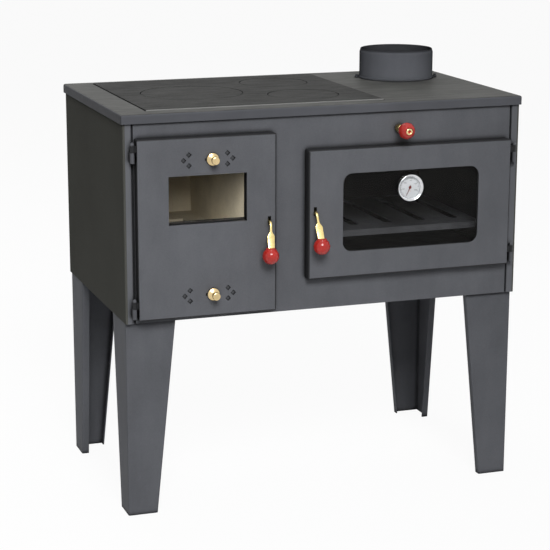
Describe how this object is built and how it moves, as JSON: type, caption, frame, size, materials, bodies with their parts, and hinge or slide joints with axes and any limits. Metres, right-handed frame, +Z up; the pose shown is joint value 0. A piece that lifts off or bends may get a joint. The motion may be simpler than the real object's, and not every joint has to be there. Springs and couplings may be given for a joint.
{
  "type": "wood-burning kitchen stove",
  "caption": "Free-standing wood-burning kitchen stove on four tapered legs, with a glazed fire door, a glazed oven door, a lift-out cooking plate and a round flue collar.",
  "frame": {"origin": "on the floor, below the centre of the whole stove's box, knobs included", "axes": "+Z up, -Y to the front where the doors are, +X to the viewer's right as they face the doors"},
  "size_m": [0.79, 0.5117, 0.82],
  "materials": {
    "anthracite_enamel": "satin anthracite enamel",
    "hob_black": "brushed satin black",
    "cast_iron": "machined and blackened",
    "black_steel": "matt black",
    "fireclay": "matt beige fireclay",
    "ceramic_glass": "clear, slightly smoked",
    "seal_rope": "braided grey rope",
    "brass": "polished",
    "red_plastic": "gloss red",
    "bright_steel": "polished",
    "needle_red": "matt dark red"
  },
  "bodies": {
    "stove_body": {"left_side_panel": "anthracite_enamel", "right_side_panel": "anthracite_enamel", "front_panel": "anthracite_enamel", "back_panel": "anthracite_enamel", "bottom_panel": "anthracite_enamel", "hob_frame": "hob_black", "flue_collar": "hob_black", "leg_front_left": "anthracite_enamel", "leg_front_right": "anthracite_enamel", "leg_rear_left": "anthracite_enamel", "leg_rear_right": "anthracite_enamel", "firebox": "black_steel", "firebrick_left": "fireclay", "firebrick_right": "fireclay", "firebrick_rear": "fireclay", "firebrick_floor": "fireclay", "fire_grate": "cast_iron", "log_guard": "cast_iron", "oven_box": "black_steel", "flue_wall": "black_steel", "damper_ferrule": "brass", "fire_hinge_upper": "anthracite_enamel", "fire_hinge_lower": "anthracite_enamel", "oven_hinge_upper": "anthracite_enamel", "oven_hinge_lower": "anthracite_enamel", "fire_hinge_pin_upper": "anthracite_enamel", "fire_hinge_pin_lower": "anthracite_enamel", "oven_hinge_pin_upper": "anthracite_enamel", "oven_hinge_pin_lower": "anthracite_enamel"},
    "fire_door": {"fire_door_panel": "anthracite_enamel", "fire_door_glass": "ceramic_glass", "fire_glass_frame": "black_steel", "fire_door_rope": "seal_rope", "fire_latch_bracket": "black_steel"},
    "fire_latch": {"fire_latch_lever": "brass", "fire_latch_knob": "red_plastic"},
    "upper_air": {"upper_air_slide": "black_steel", "upper_air_knob": "brass"},
    "lower_air": {"lower_air_slide": "black_steel", "lower_air_knob": "brass"},
    "oven_door": {"oven_door_panel": "anthracite_enamel", "oven_door_glass": "ceramic_glass", "oven_glass_frame": "black_steel", "oven_door_rope": "seal_rope", "oven_latch_bracket": "black_steel", "thermometer_case": "bright_steel", "thermometer_lens": "ceramic_glass"},
    "oven_latch": {"oven_latch_lever": "brass", "oven_latch_knob": "red_plastic"},
    "thermometer_hand": {"thermometer_needle": "needle_red"},
    "damper": {"damper_slide": "black_steel", "damper_knob": "red_plastic"},
    "ash_drawer": {"ash_pan": "black_steel"},
    "rack": {"oven_rack": "black_steel"},
    "plate": {"cooking_plate": "cast_iron"},
    "large_ring_lid": {"large_lid": "cast_iron"},
    "rear_ring_lid": {"rear_lid": "cast_iron"},
    "front_ring_lid": {"front_lid": "cast_iron"}
  },
  "joints": [
    {"name": "fire_door_hinge", "type": "hinge", "parent": "stove_body", "child": "fire_door", "pos_m": [-0.3767, -0.2104, 0.5495], "axis": [0, 0, -1], "range_deg": [0, 110]},
    {"name": "oven_door_hinge", "type": "hinge", "parent": "stove_body", "child": "oven_door", "pos_m": [0.3767, -0.2104, 0.558], "axis": [0, 0, 1], "range_deg": [0, 110]},
    {"name": "fire_latch_pivot", "type": "hinge", "parent": "fire_door", "child": "fire_latch", "pos_m": [-0.1206, -0.2086, 0.552], "axis": [-1, 0, 0], "range_deg": [-5, 28]},
    {"name": "oven_latch_pivot", "type": "hinge", "parent": "oven_door", "child": "oven_latch", "pos_m": [-0.0306, -0.2086, 0.5627], "axis": [-1, 0, 0], "range_deg": [-5, 28]},
    {"name": "upper_air_slide", "type": "slide", "parent": "fire_door", "child": "upper_air", "axis": [1, 0, 0], "range_m": [-0.012, 0]},
    {"name": "lower_air_slide", "type": "slide", "parent": "fire_door", "child": "lower_air", "axis": [1, 0, 0], "range_m": [-0.012, 0]},
    {"name": "thermometer_pivot", "type": "hinge", "parent": "oven_door", "child": "thermometer_hand", "pos_m": [0.1573, -0.2222, 0.5999], "axis": [0, 1, 0], "range_deg": [0, 270]},
    {"name": "damper_pull", "type": "slide", "parent": "stove_body", "child": "damper", "axis": [0, -1, 0], "range_m": [0, 0.09]},
    {"name": "ash_pan_slide", "type": "slide", "parent": "stove_body", "child": "ash_drawer", "axis": [0, -1, 0], "range_m": [0, 0.012]},
    {"name": "oven_rack_slide", "type": "slide", "parent": "stove_body", "child": "rack", "axis": [0, -1, 0], "range_m": [0, 0.012]},
    {"name": "cooking_plate_lift", "type": "slide", "parent": "stove_body", "child": "plate", "axis": [0, 0, 1], "range_m": [0, 0.12]},
    {"name": "large_lid_lift", "type": "slide", "parent": "plate", "child": "large_ring_lid", "axis": [0, 0, 1], "range_m": [0, 0.1]},
    {"name": "rear_lid_lift", "type": "slide", "parent": "plate", "child": "rear_ring_lid", "axis": [0, 0, 1], "range_m": [0, 0.1]},
    {"name": "front_lid_lift", "type": "slide", "parent": "plate", "child": "front_ring_lid", "axis": [0, 0, 1], "range_m": [0, 0.1]}
  ]
}
